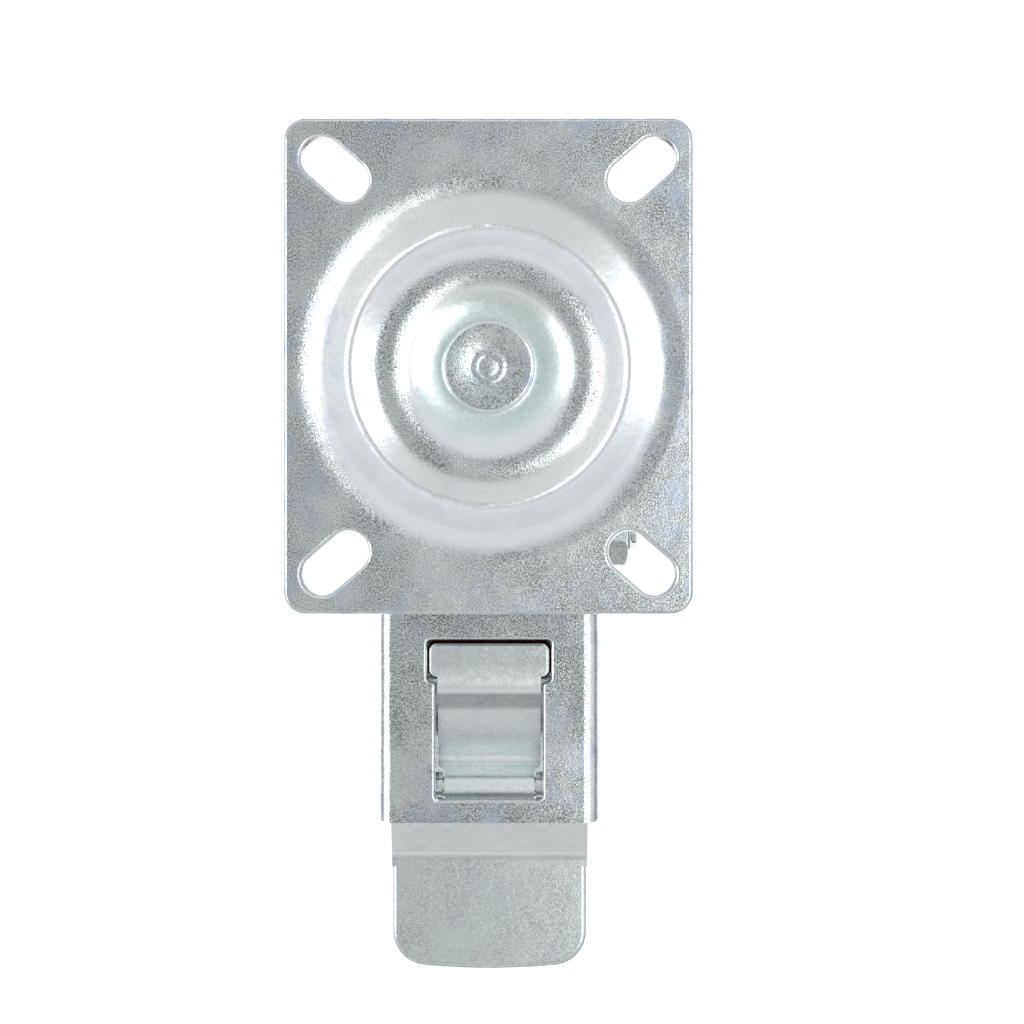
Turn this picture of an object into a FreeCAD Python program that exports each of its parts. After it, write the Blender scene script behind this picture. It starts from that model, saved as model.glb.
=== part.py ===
import FreeCAD, Part
import math
import os

# Plate castor with a swivelling fork and a pedal that locks the wheel and the swivel together.
# Millimetres. +Z is up. The origin is on the swivel axis, on the plate's top face.
# The wheel's axle runs along X. The wheel trails, and the pedal points, towards -Y.

# Top plate
PLATE_WIDTH = 111.5
PLATE_LENGTH = 135.0
PLATE_CORNER = 6.0
PLATE_SHEET = 4.0
PLATE_EDGE_ROUND = 1.2
SLOT_INSET = 14.0
SLOT_WIDTH = 11.2
SLOT_LENGTH = 20.5
SLOT_ANGLE = 41.0
DISH_RADIUS = 49.0
DISH_BEND = 12.0
DISH_LIP = 4.8
VALLEY_RADIUS = 38.3
VALLEY_DROP = 6.5
VALLEY_BEND = 2.6
RIDGE_DROP = 2.2
RIDGE_BEND = 8.0
BOSS_RADIUS = 17.3
BOSS_DROP = 5.8
BOSS_BEND = 18.0

# Swivel head: two rings of balls, one above and one below the fork's crown
UPPER_BALL = 10.0
UPPER_RACE_RADIUS = 27.4
LOWER_BALL = 6.0
BALL_SPACING = 0.6
RACE_CLEARANCE = 0.1
PIN_SHANK_RADIUS = 8.0
PIN_SHOULDER_RADIUS = 10.0
PIN_HEAD_RADIUS = 13.0
PIN_HEAD_HEIGHT = 3.4
PIN_HEAD_ROUND = 1.1
PIN_FOOT_HEIGHT = 4.0
LOWER_RACE_SHOULDER_GAP = 3.0
LOWER_RACE_WALL = 2.0
LOWER_RACE_FLOOR = 3.1
LOWER_RACE_LIP = 0.2
LOWER_RACE_LAND = 1.2
RACE_CORNER = 1.5
RACE_LIP_ROUND = 0.5
LOWER_GROOVE_DEPTH = 0.5
LOCK_RING_SIDE_GAP = 2.0
LOCK_RING_SHEET = 3.0
LOCK_NOTCHES = 16
LOCK_NOTCH_WIDTH = 5.0
LOCK_NOTCH_DEPTH = 5.0

# Fork: crown, two legs and the rear housing, pressed from one sheet
FORK_SHEET = 3.0
FORK_BEND = 2.0
CROWN_RADIUS = 38.0
CROWN_LAP = 1.0
CROWN_HOLE_GAP = 1.5
CROWN_SHOULDER = 2.2
CROWN_GROOVE_SLOPE = 35.0
GROOVE_SHOULDER = 0.5
CROWN_FLAT_END = 40.0
HOUSING_START = 58.0
HOUSING_DROP = 22.0
HOUSING_END = 126.7
HOUSING_DEPTH = 30.0
HOUSING_CORNER = 3.2
SLOPE_BEND = 6.0
LEG_FRONT = 30.0
LEG_FRONT_DROP = 16.0
LEG_REAR_REACH = 46.0
LEG_REAR_DROP = 42.0
LEG_CORNER = 12.0
AXLE_BOSS_RADIUS = 18.0
WINDOW_START = 75.5
WINDOW_STEP = 87.2
WINDOW_END = 120.3
WINDOW_HEAD_WIDTH = 34.6
WINDOW_NECK_WIDTH = 30.0
WINDOW_CORNER = 1.1
WINDOW_STEP_ROUND = 1.15
WINDOW_EDGE_ROUND = 1.0

# Wheel and axle
TRAIL = 46.0
WHEEL_RADIUS = 100.0
WHEEL_TOP_DROP = 37.0
TREAD_WIDTH = 50.0
TREAD_SIDE_GAP = 3.5
TREAD_THICKNESS = 10.0
TREAD_SHOULDER = 5.0
RIM_THICKNESS = 8.0
CORE_STEP = 0.5
RIM_EDGE_ROUND = 0.5
CORE_EDGE_ROUND = 1.0
CORE_WEB = 42.0
CORE_RIBS = 10
CORE_RIB_WIDTH = 5.0
CORE_RIB_RECESS = 1.0
HUB_WALL = 9.5
HUB_CLEARANCE = 2.0
CORE_BEND = 1.5
BEARING_BORE = 20.0
BEARING_OUTER = 47.0
BEARING_WIDTH = 14.0
BEARING_RING = 3.4
BEARING_BALL = 8.0
BEARING_BALL_SPACING = 3.5
BEARING_CLEARANCE = 0.06
SHIELD_SHEET = 1.0
SHIELD_RECESS = 0.6
SHIELD_GAP = 0.4
AXLE_RADIUS = 6.0
AXLE_CLEARANCE = 0.15
BOLT_HEAD_HEIGHT = 7.5
HEX_ACROSS_FLATS = 19.0
HEX_TURN = 16.0
NUT_HEIGHT = 12.0
NUT_INSERT_HEIGHT = 3.0
NUT_INSERT_WALL = 1.8
THREAD_PROJECTION = 3.0
THREAD_CHAMFER = 1.0
WASHER_WALL = 4.0
WASHER_THICKNESS = 2.0

# Pedal and the pin that it rocks on
PEDAL_SHEET = 2.5
PEDAL_BEND = 2.5
BLANK_CORNER = 1.0
PEDAL_PIN_RADIUS = 3.0
PEDAL_PIN_Y = 117.8
PIN_RUNNING_CLEARANCE = 0.05
SADDLE_GAP = 2.5
TAB_GAP_FRONT = 1.0
TAB_GAP_SIDE = 0.5
TAB_GAP_REAR = 1.3
TAB_CORNER = 2.0
TAB_EDGE_ROUND = 0.7
TAB_REAR_FLAT = 3.5
NECK_GAP_SIDE = 0.5
NECK_DROP_RUN = 5.5
NECK_DROP = 4.5
DIP_AHEAD = 1.75
DIP_DROP = 14.0
SADDLE_STEP = 1.8
FOOT_GAP_SIDE = 0.6
FOOT_START = 138.0
FOOT_DROP = 16.0
FOOT_END = 168.5
FOOT_BOW = 2.0
FOOT_CORNER = 10.0
FOOT_FLANGE = 6.0
FOOT_ROLL = 1.6
FOOT_OVERLAP = 3.0
SLEEVE_WALL = 1.4
SLEEVE_GAP = 0.5
EAR_INSET = 0.15
EAR_SHEET = 2.5
BRIDGE_DEPTH = 8.0
CAM_ANGLE = 72.0
CAM_TIP_RADIUS = 3.0
CAM_GAP = 0.5

# Brake lever: a tooth for the lock ring at the front, a shoe for the tread at the rear
LEVER_SHEET = 2.5
LEVER_BEND = 2.0
LEVER_PIN_RADIUS = 2.5
LEVER_PIN_Y = 70.0
LEVER_PIN_LIFT = 0.3
LEVER_EAR_WALL = 1.7
LEVER_EAR_GAP = 1.3
LEVER_EAR_INSET = 2.5
LEVER_CROSS_MARGIN = 1.3
TOOTH_GAP = 1.0
TOOTH_INSET = 2.5
TOOTH_HEIGHT = 2.8
TOOTH_SIDE_GAP = 0.5
TONGUE_HALF_WIDTH = 11.0
TONGUE_CORNER = 2.0
ARM_WIDTH = 6.5
LEVER_SIDE_GAP = 4.5
LEVER_HOLE_END = 87.0
LEVER_CORNER = 3.0
SHOE_Y = 102.0
SHOE_GAP = 3.4
SHOE_THICKNESS = 5.0
SHOE_LENGTH = 20.0
SHOE_SIDE_INSET = 5.0
LEVER_END = 127.0
RIVET_RADIUS = 2.5
RIVET_HEAD_RADIUS = 4.5
RIVET_HEAD_HEIGHT = 1.5
RIVET_PITCH = 16.0
RIVET_RECESS = 1.5

# How near an edge must be to a place to count as being there
EDGE_TOLERANCE = 0.01

# Widths that follow the tread's
fork_inner = TREAD_WIDTH / 2 + TREAD_SIDE_GAP
fork_outer = fork_inner + FORK_SHEET
lock_ring_radius = fork_inner - LOCK_RING_SIDE_GAP

# Lower race, from the king pin's shoulder outwards
lower_race_radius = PIN_SHOULDER_RADIUS + LOWER_RACE_SHOULDER_GAP + LOWER_BALL / 2
lower_race_outer = lower_race_radius + LOWER_BALL / 2 + LOWER_RACE_WALL

# Swivel head, from the plate down
upper_ball_z = -(RIDGE_DROP + PLATE_SHEET + RACE_CLEARANCE + UPPER_BALL / 2)
boss_bottom = -(BOSS_DROP + PLATE_SHEET)
crown_top = upper_ball_z - CROWN_SHOULDER
crown_bottom = crown_top - FORK_SHEET
crown_hole_radius = PIN_SHOULDER_RADIUS + CROWN_HOLE_GAP
lower_ball_z = crown_bottom - LOWER_BALL / 2 + LOWER_GROOVE_DEPTH
lower_race_lip = lower_ball_z + LOWER_RACE_LIP
lower_race_top = lower_ball_z - LOWER_RACE_LAND
lower_race_bottom = lower_ball_z - LOWER_BALL / 2 - LOWER_RACE_FLOOR
lock_ring_bottom = lower_race_bottom - LOCK_RING_SHEET

# Rear housing
housing_top = -HOUSING_DROP
housing_bottom = housing_top - FORK_SHEET

# Wheel, axle and bearings
axle_y = -TRAIL
axle_z = -(WHEEL_TOP_DROP + WHEEL_RADIUS)
rim_radius = WHEEL_RADIUS - TREAD_THICKNESS
tube_radius = BEARING_BORE / 2
tube_bore = AXLE_RADIUS + AXLE_CLEARANCE
bearing_face = fork_inner - WASHER_THICKNESS
bearing_outer = BEARING_OUTER / 2
bearing_pitch = (tube_radius + bearing_outer) / 2
hub_radius = bearing_outer + HUB_WALL
nut_insert_radius = AXLE_RADIUS + NUT_INSERT_WALL
nut_end = fork_outer + NUT_HEIGHT

# Pedal
pedal_pin_y = -PEDAL_PIN_Y
saddle_bore = PEDAL_PIN_RADIUS + PIN_RUNNING_CLEARANCE
saddle_radius = saddle_bore + PEDAL_SHEET
pedal_pin_z = housing_bottom - SADDLE_GAP - saddle_radius
ear_radius = saddle_radius - EAR_INSET
neck_half_width = WINDOW_NECK_WIDTH / 2 - NECK_GAP_SIDE
saddle_half_width = neck_half_width - SADDLE_STEP
tab_half_width = WINDOW_HEAD_WIDTH / 2 - TAB_GAP_SIDE
tab_start = -(WINDOW_START + TAB_GAP_FRONT)
tab_end = -(WINDOW_STEP - TAB_GAP_REAR)
foot_half_width = fork_inner - FOOT_GAP_SIDE
foot_top = housing_top - FOOT_DROP

# Brake lever
lever_ear_radius = LEVER_PIN_RADIUS + LEVER_EAR_WALL
lever_pin_y = -LEVER_PIN_Y
lever_pin_z = housing_bottom - LEVER_EAR_GAP - lever_ear_radius
lever_top = lever_pin_z - LEVER_PIN_RADIUS - LEVER_PIN_LIFT
lever_cross = lever_ear_radius + LEVER_CROSS_MARGIN
lever_half_width = fork_inner - LEVER_SIDE_GAP
tooth_top = lock_ring_bottom - TOOTH_GAP
tooth_y = -(lock_ring_radius - TOOTH_INSET)
shoe_inner = WHEEL_RADIUS + SHOE_GAP
shoe_outer = shoe_inner + SHOE_THICKNESS
shoe_angle = math.asin((SHOE_Y - TRAIL) / shoe_outer)
shoe_half_width = TREAD_WIDTH / 2 - SHOE_SIDE_INSET
lever_over_wheel = shoe_outer + LEVER_SHEET

UP = FreeCAD.Vector(0, 0, 1)
ALONG_X = FreeCAD.Vector(1, 0, 0)
ALONG_Y = FreeCAD.Vector(0, 1, 0)
SWIVEL = FreeCAD.Vector(0, 0, 0)
AXLE = FreeCAD.Vector(0, axle_y, axle_z)
PEDAL_PIN = FreeCAD.Vector(0, pedal_pin_y, pedal_pin_z)
LEVER_PIN = FreeCAD.Vector(0, lever_pin_y, lever_pin_z)
SHOE_NORMAL = FreeCAD.Vector(0, -math.sin(shoe_angle), math.cos(shoe_angle))
SHOE_DOWNHILL = FreeCAD.Vector(0, -math.cos(shoe_angle), -math.sin(shoe_angle))


def side(y, z):
    """A point in the plane of symmetry, seen from the side."""
    return FreeCAD.Vector(0, y, z)


def profile(r, z):
    """A point of a turned section: radius and height."""
    return FreeCAD.Vector(r, 0, z)


def plan(x, y):
    """A point seen from above."""
    return FreeCAD.Vector(x, y, 0)


def rounded_edges(points, radii):
    """Straight runs through the points, joined by a tangent arc of the given radius at each inner point."""
    edges = []
    start = points[0]
    for before, corner, after, radius in zip(points, points[1:], points[2:], radii):
        into = (corner - before).normalize()
        out = (after - corner).normalize()
        turn = into.getAngle(out)
        if radius == 0 or turn < 1e-6:
            edges.append(Part.makeLine(start, corner))
            start = corner
            continue
        reach = radius * math.tan(turn / 2)
        centre = corner + (out - into).normalize() * (radius / math.cos(turn / 2))
        first = corner - into * reach
        last = corner + out * reach
        middle = centre + (corner - centre).normalize() * radius
        if (first - start).Length > 1e-6:
            edges.append(Part.makeLine(start, first))
        edges.append(Part.Arc(first, middle, last).toShape())
        start = last
    if (points[-1] - start).Length > 1e-6:
        edges.append(Part.makeLine(start, points[-1]))
    return edges


def offset_points(points, distance, normal):
    """The same run of points moved sideways, to the left of its direction as seen against the normal."""
    lefts = [normal.cross((b - a).normalize()) for a, b in zip(points, points[1:])]
    moved = [points[0] + lefts[0] * distance]
    for point, left, right in zip(points[1:], lefts, lefts[1:]):
        moved.append(point + (left + right) * (distance / (1 + left.dot(right))))
    moved.append(points[-1] + lefts[-1] * distance)
    return moved


def sheet_section(points, inner_radii, thickness, normal):
    """The section of a bent sheet. The points are its upper side, and each bend has its inner radius."""
    upper_radii = []
    lower_radii = []
    for before, corner, after, radius in zip(points, points[1:], points[2:], inner_radii):
        bends_down = (corner - before).cross(after - corner).dot(normal) > 0
        upper_radii.append(radius + thickness if bends_down else radius)
        lower_radii.append(radius if bends_down else radius + thickness)
    lower = offset_points(points, thickness, normal)
    edges = rounded_edges(points, upper_radii)
    edges.append(Part.makeLine(points[-1], lower[-1]))
    edges += rounded_edges(lower[::-1], lower_radii[::-1])
    edges.append(Part.makeLine(lower[0], points[0]))
    return Part.Face(Part.Wire(edges))


def outline(points, radii):
    """A closed flat shape with one corner radius for each point."""
    halfway = (points[-1] + points[0]) * 0.5
    return Part.Face(Part.Wire(rounded_edges([halfway] + points + [halfway], radii)))


def mirrored_outline(half):
    """A closed shape seen from above, the same on both sides. Each corner has its x, y and radius."""
    left = [(plan(-x, y), radius) for x, y, radius in half]
    right = [(plan(x, y), radius) for x, y, radius in reversed(half)]
    points, radii = zip(*(left + right))
    return outline(list(points), list(radii))


def turned(face):
    """A section turned about the swivel axis."""
    return face.revolve(SWIVEL, UP, 360)


def across(face, half_width):
    """A side view pulled out to both sides of the plane of symmetry."""
    return face.translated(ALONG_X * -half_width).extrude(ALONG_X * (2 * half_width))


def upright(face, top, bottom):
    """A view from above pulled down from one height to another."""
    return face.translated(UP * bottom).extrude(UP * (top - bottom))


def rod(radius, start_x, end_x, centre):
    return Part.makeCylinder(radius, end_x - start_x, centre + ALONG_X * start_x, ALONG_X)


def tube(outer, bore, start_x, end_x, centre):
    return rod(outer, start_x, end_x, centre).cut(rod(bore, start_x, end_x, centre))


def disc(radius, top, bottom):
    return Part.makeCylinder(radius, top - bottom, FreeCAD.Vector(0, 0, bottom))


def fuse(shapes):
    return shapes[0].multiFuse(shapes[1:]).removeSplitter()


def round_edges(shape, radius, chosen):
    """Round the edges that the chosen test picks out."""
    return shape.makeFillet(radius, [edge for edge in shape.Edges if chosen(edge)])


def at_height(edge, z):
    box = edge.BoundBox
    return max(abs(box.ZMin - z), abs(box.ZMax - z)) < EDGE_TOLERANCE


def touching(point, centre, radius, axis, turn):
    """Where a line from the point touches the circle, on the side that turn, +1 or -1, gives."""
    toward = centre - point
    swing = math.degrees(math.asin(radius / toward.Length)) * turn
    direction = FreeCAD.Rotation(axis, swing).multVec(toward).normalize()
    return point + direction * math.sqrt(toward.Length ** 2 - radius ** 2)


def crossing(a, b, c, d):
    """Where the line through a and b meets the line through c and d."""
    normal = (b - a).cross(d - c)
    return a + (b - a) * ((c - a).cross(d - c).dot(normal) / normal.Length ** 2)


def ball_ring(ball, spacing, centre, axis, spoke):
    """As many balls as fit around the axis. The spoke leads from the ring's centre to the first ball."""
    count = int(2 * math.pi * spoke.Length / (ball + spacing))
    balls = []
    for index in range(count):
        turn = FreeCAD.Rotation(axis, 360 * index / count)
        balls.append(Part.makeSphere(ball / 2, centre + turn.multVec(spoke)))
    return Part.makeCompound(balls)


def swivel_balls(ball, race_radius, z):
    return ball_ring(ball, BALL_SPACING, UP * z, UP, ALONG_X * race_radius)


def slot_shape():
    """One slot of the plate, centred on the swivel axis and running along X."""
    half_run = (SLOT_LENGTH - SLOT_WIDTH) / 2
    box = Part.makeBox(2 * half_run, SLOT_WIDTH, 2 * PLATE_SHEET,
                       FreeCAD.Vector(-half_run, -SLOT_WIDTH / 2, -1.5 * PLATE_SHEET))
    ends = [
        Part.makeCylinder(SLOT_WIDTH / 2, 2 * PLATE_SHEET,
                          FreeCAD.Vector(sign * half_run, 0, -1.5 * PLATE_SHEET))
        for sign in (-1, 1)
    ]
    return fuse([box] + ends)


def make_top_plate():
    corners = [
        plan(sx * PLATE_WIDTH / 2, sy * PLATE_LENGTH / 2)
        for sx, sy in ((-1, -1), (1, -1), (1, 1), (-1, 1))
    ]
    plate = upright(outline(corners, [PLATE_CORNER] * 4), 0, -PLATE_SHEET)
    for sign_x in (-1, 1):
        for sign_y in (-1, 1):
            slot = slot_shape().rotated(SWIVEL, UP, sign_x * sign_y * SLOT_ANGLE)
            place = FreeCAD.Vector(sign_x * (PLATE_WIDTH / 2 - SLOT_INSET),
                                   sign_y * (PLATE_LENGTH / 2 - SLOT_INSET), 0)
            plate = plate.cut(slot.translated(place))
    plate = round_edges(plate, PLATE_EDGE_ROUND, lambda edge: at_height(edge, 0))
    valley = profile(VALLEY_RADIUS, -VALLEY_DROP)
    boss = profile(BOSS_RADIUS, -BOSS_DROP)
    ridge_radius = RIDGE_BEND + PLATE_SHEET
    ridge_middle = profile(UPPER_RACE_RADIUS, -RIDGE_DROP - ridge_radius)
    outer_touch = touching(valley, ridge_middle, ridge_radius, ALONG_Y, 1)
    inner_touch = touching(boss, ridge_middle, ridge_radius, ALONG_Y, -1)
    ridge = crossing(valley, outer_touch, boss, inner_touch)
    rim = DISH_RADIUS + DISH_LIP
    run = [profile(PIN_SHANK_RADIUS, -BOSS_DROP), boss, ridge, valley,
           profile(DISH_RADIUS, 0), profile(rim, 0)]
    bends = [BOSS_BEND, RIDGE_BEND, VALLEY_BEND, DISH_BEND]
    dish = turned(sheet_section(run, bends, PLATE_SHEET, ALONG_Y))
    return fuse([plate.cut(disc(rim, PLATE_SHEET, -2 * PLATE_SHEET)), dish])


def make_king_pin():
    """The rivet that holds the head together: a formed head, a shoulder that sets the gap, and a foot."""
    head_top = -BOSS_DROP + PIN_HEAD_HEIGHT
    foot_bottom = lock_ring_bottom - PIN_FOOT_HEIGHT
    head = disc(PIN_HEAD_RADIUS, head_top, -BOSS_DROP)
    head = round_edges(head, PIN_HEAD_ROUND, lambda edge: at_height(edge, head_top))
    foot = disc(PIN_HEAD_RADIUS, lock_ring_bottom, foot_bottom)
    foot = round_edges(foot, PIN_HEAD_ROUND, lambda edge: at_height(edge, foot_bottom))
    shank = disc(PIN_SHANK_RADIUS, -BOSS_DROP, lock_ring_bottom)
    shoulder = disc(PIN_SHOULDER_RADIUS, boss_bottom, lower_race_top)
    return fuse([head, shank, shoulder, foot])


def race_groove(ball, race_radius, z):
    return Part.makeTorus(race_radius, ball / 2 + RACE_CLEARANCE, FreeCAD.Vector(0, 0, z))


def make_lower_race():
    run = [
        profile(PIN_SHANK_RADIUS, lower_race_bottom),
        profile(lower_race_outer, lower_race_bottom),
        profile(lower_race_outer, lower_race_lip),
        profile(lower_race_radius, lower_race_lip),
        profile(lower_race_radius, lower_race_top),
        profile(PIN_SHANK_RADIUS, lower_race_top),
    ]
    ring = turned(outline(run, [0, RACE_CORNER, RACE_LIP_ROUND, 0, 0, 0]))
    return ring.cut(race_groove(LOWER_BALL, lower_race_radius, lower_ball_z))


def make_lock_ring():
    ring = disc(lock_ring_radius, lower_race_bottom, lock_ring_bottom)
    ring = ring.cut(disc(PIN_SHANK_RADIUS, lower_race_bottom, lock_ring_bottom))
    notch = Part.makeBox(
        2 * LOCK_NOTCH_DEPTH, LOCK_NOTCH_WIDTH, 2 * LOCK_RING_SHEET,
        FreeCAD.Vector(lock_ring_radius - LOCK_NOTCH_DEPTH, -LOCK_NOTCH_WIDTH / 2,
                       lock_ring_bottom - LOCK_RING_SHEET / 2))
    for index in range(LOCK_NOTCHES):
        ring = ring.cut(notch.rotated(SWIVEL, UP, 360 * index / LOCK_NOTCHES))
    return ring


def fork_envelope(half_width, inset, bend):
    """A long block under the fork's top line, its long upper edges rounded.

    The fork's channel is one such block less a narrower and lower one.
    """
    far = 3 * HOUSING_END
    run = [
        side(far, crown_top - inset),
        side(-CROWN_FLAT_END, crown_top - inset),
        side(-HOUSING_START, housing_top - inset),
        side(-far, housing_top - inset),
    ]
    edges = rounded_edges(run, [SLOPE_BEND] * 2)
    low = [side(-far, -far), side(far, -far)]
    for start, end in zip([run[-1]] + low, low + [run[0]]):
        edges.append(Part.makeLine(start, end))
    block = across(Part.Face(Part.Wire(edges)), half_width)

    def is_long_upper_edge(edge):
        box = edge.BoundBox
        return abs(abs(edge.CenterOfMass.x) - half_width) < 1e-4 and box.ZMin > housing_top - inset - 1

    return round_edges(block, bend, is_long_upper_edge)


def leg_silhouette():
    """The fork seen from the side: crown, rear housing, and a leg that tapers to the axle boss."""
    front = side(LEG_FRONT, crown_top - LEG_FRONT_DROP)
    rear = side(-LEG_REAR_REACH - TRAIL, housing_top - LEG_REAR_DROP)
    front_touch = touching(front, AXLE, AXLE_BOSS_RADIUS, ALONG_X, 1)
    rear_touch = touching(rear, AXLE, AXLE_BOSS_RADIUS, ALONG_X, -1)
    housing_low = side(-HOUSING_END, housing_top - HOUSING_DEPTH)
    points = [side(LEG_FRONT, 0), side(-HOUSING_END, 0), housing_low, rear]
    points += [rear_touch, AXLE, front_touch, front]
    radii = [0, 0, HOUSING_CORNER, LEG_CORNER, 0, 0, 0, LEG_CORNER]
    legs = across(outline(points, radii), 2 * fork_outer)
    return legs.fuse(rod(AXLE_BOSS_RADIUS, -2 * fork_outer, 2 * fork_outer, AXLE))


def fork_plan():
    """The fork seen from above, with the rear housing's rounded corners."""
    half = [(fork_outer, LEG_FRONT, 0), (fork_outer, -HOUSING_END, HOUSING_CORNER)]
    return upright(mirrored_outline(half), 0, axle_z - 2 * AXLE_BOSS_RADIUS)


def window_cutter():
    """The T-shaped window: a wide head for the pedal's tab and a narrower neck."""
    half = [
        (WINDOW_HEAD_WIDTH / 2, -WINDOW_START, WINDOW_CORNER),
        (WINDOW_HEAD_WIDTH / 2, -WINDOW_STEP, WINDOW_CORNER),
        (WINDOW_NECK_WIDTH / 2, -WINDOW_STEP, WINDOW_STEP_ROUND),
        (WINDOW_NECK_WIDTH / 2, -WINDOW_END, WINDOW_CORNER),
    ]
    return upright(mirrored_outline(half), housing_top + FORK_SHEET, housing_bottom - FORK_SHEET)


def make_crown():
    """The round crown, its upper groove pressed for the large balls and its lower groove ground."""
    groove_radius = UPPER_BALL / 2 + RACE_CLEARANCE
    slope = math.radians(CROWN_GROOVE_SLOPE)
    apex_z = upper_ball_z - groove_radius / math.cos(slope)
    reach = (crown_top - apex_z) / math.tan(slope)
    run = [
        profile(crown_hole_radius, crown_top),
        profile(UPPER_RACE_RADIUS - reach, crown_top),
        profile(UPPER_RACE_RADIUS, apex_z),
        profile(UPPER_RACE_RADIUS + reach, crown_top),
        profile(CROWN_RADIUS, crown_top),
    ]
    bends = [GROOVE_SHOULDER, groove_radius, GROOVE_SHOULDER]
    crown = turned(sheet_section(run, bends, FORK_SHEET, ALONG_Y))
    return crown.cut(race_groove(LOWER_BALL, lower_race_radius, lower_ball_z))


def make_fork():
    channel = fork_envelope(fork_outer, 0, FORK_BEND + FORK_SHEET)
    channel = channel.cut(fork_envelope(fork_inner, FORK_SHEET, FORK_BEND))
    channel = channel.common(leg_silhouette()).common(fork_plan())
    channel = channel.cut(window_cutter())

    def is_window_edge(edge):
        box = edge.BoundBox
        across_window = max(-box.XMin, box.XMax) < WINDOW_HEAD_WIDTH / 2 + EDGE_TOLERANCE
        along_window = -WINDOW_END - EDGE_TOLERANCE < box.YMin and box.YMax < -WINDOW_START + EDGE_TOLERANCE
        return at_height(edge, housing_top) and across_window and along_window

    channel = round_edges(channel, WINDOW_EDGE_ROUND, is_window_edge)
    channel = channel.cut(disc(CROWN_RADIUS - CROWN_LAP, 0, crown_bottom))
    channel = channel.cut(race_groove(UPPER_BALL, UPPER_RACE_RADIUS, upper_ball_z))
    holes = [
        rod(AXLE_RADIUS + AXLE_CLEARANCE, -2 * fork_outer, 2 * fork_outer, AXLE),
        rod(PEDAL_PIN_RADIUS, -2 * fork_outer, 2 * fork_outer, PEDAL_PIN),
        rod(LEVER_PIN_RADIUS, -2 * fork_outer, 2 * fork_outer, LEVER_PIN),
    ]
    fork = fuse([channel, make_crown()])
    return fork.cut(Part.makeCompound(holes))


def axle_turned(points, radii=None):
    """A shape turned about the axle. Each point is a place along the axle and a radius."""
    corners = [AXLE + FreeCAD.Vector(x, 0, r) for x, r in points]
    face = outline(corners, radii or [0] * len(corners))
    return face.revolve(AXLE, ALONG_X, 360)


def hex_piece(inner_x, outer_x):
    """A hexagon along the axle whose corners are bevelled on its outer face."""
    radius = HEX_ACROSS_FLATS / 2 / math.cos(math.pi / 6)
    bevel = radius - HEX_ACROSS_FLATS / 2
    corners = []
    for index in range(6):
        angle = math.radians(HEX_TURN) + index * math.pi / 3
        corners.append(side(-radius * math.sin(angle), radius * math.cos(angle)))
    face = outline(corners, [0] * 6).translated(AXLE + ALONG_X * inner_x)
    prism = face.extrude(ALONG_X * (outer_x - inner_x))
    inward = math.copysign(bevel / 2, inner_x - outer_x)
    blank = axle_turned([(inner_x, 0), (inner_x, radius), (outer_x + inward, radius),
                         (outer_x, radius - bevel), (outer_x, 0)])
    return prism.common(blank)


def make_axle_bolt():
    head = hex_piece(-fork_outer, -fork_outer - BOLT_HEAD_HEIGHT)
    end = nut_end + THREAD_PROJECTION
    shank = axle_turned(
        [(-fork_outer, 0), (-fork_outer, AXLE_RADIUS), (end, AXLE_RADIUS), (end, 0)],
        [0, 0, THREAD_CHAMFER, 0])
    return fuse([head, shank])


def make_axle_nut():
    insert_start = nut_end - NUT_INSERT_HEIGHT
    nut = hex_piece(fork_outer, nut_end)
    nut = nut.cut(rod(AXLE_RADIUS, fork_outer, nut_end, AXLE))
    return nut.cut(rod(nut_insert_radius, insert_start, nut_end, AXLE))


def make_nut_insert():
    insert_start = nut_end - NUT_INSERT_HEIGHT
    return tube(nut_insert_radius, AXLE_RADIUS, insert_start, nut_end, AXLE)


def make_axle_tube():
    return tube(tube_radius, tube_bore, -fork_inner, fork_inner, AXLE)


def make_axle_washer(hand):
    span = sorted((hand * bearing_face, hand * fork_inner))
    return tube(tube_radius + WASHER_WALL, tube_radius, *span, AXLE)


def bearing_span(hand):
    return sorted((hand * bearing_face, hand * (bearing_face - BEARING_WIDTH)))


def bearing_middle(hand):
    return AXLE + ALONG_X * (hand * (bearing_face - BEARING_WIDTH / 2))


def bearing_groove(hand):
    """The ball track that both rings share."""
    groove_radius = BEARING_BALL / 2 + BEARING_CLEARANCE
    return Part.makeTorus(bearing_pitch, groove_radius, bearing_middle(hand), ALONG_X)


def make_bearing_inner(hand):
    ring = tube(tube_radius + BEARING_RING, tube_radius, *bearing_span(hand), AXLE)
    return ring.cut(bearing_groove(hand))


def make_bearing_outer(hand):
    ring = tube(bearing_outer, bearing_outer - BEARING_RING, *bearing_span(hand), AXLE)
    return ring.cut(bearing_groove(hand))


def make_bearing_balls(hand):
    return ball_ring(BEARING_BALL, BEARING_BALL_SPACING, bearing_middle(hand), ALONG_X,
                     ALONG_Y * bearing_pitch)


def make_bearing_shield(hand):
    outer_x = bearing_face - SHIELD_RECESS
    span = sorted((hand * outer_x, hand * (outer_x - SHIELD_SHEET)))
    return tube(bearing_outer - BEARING_RING, tube_radius + BEARING_RING + SHIELD_GAP, *span, AXLE)


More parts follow.
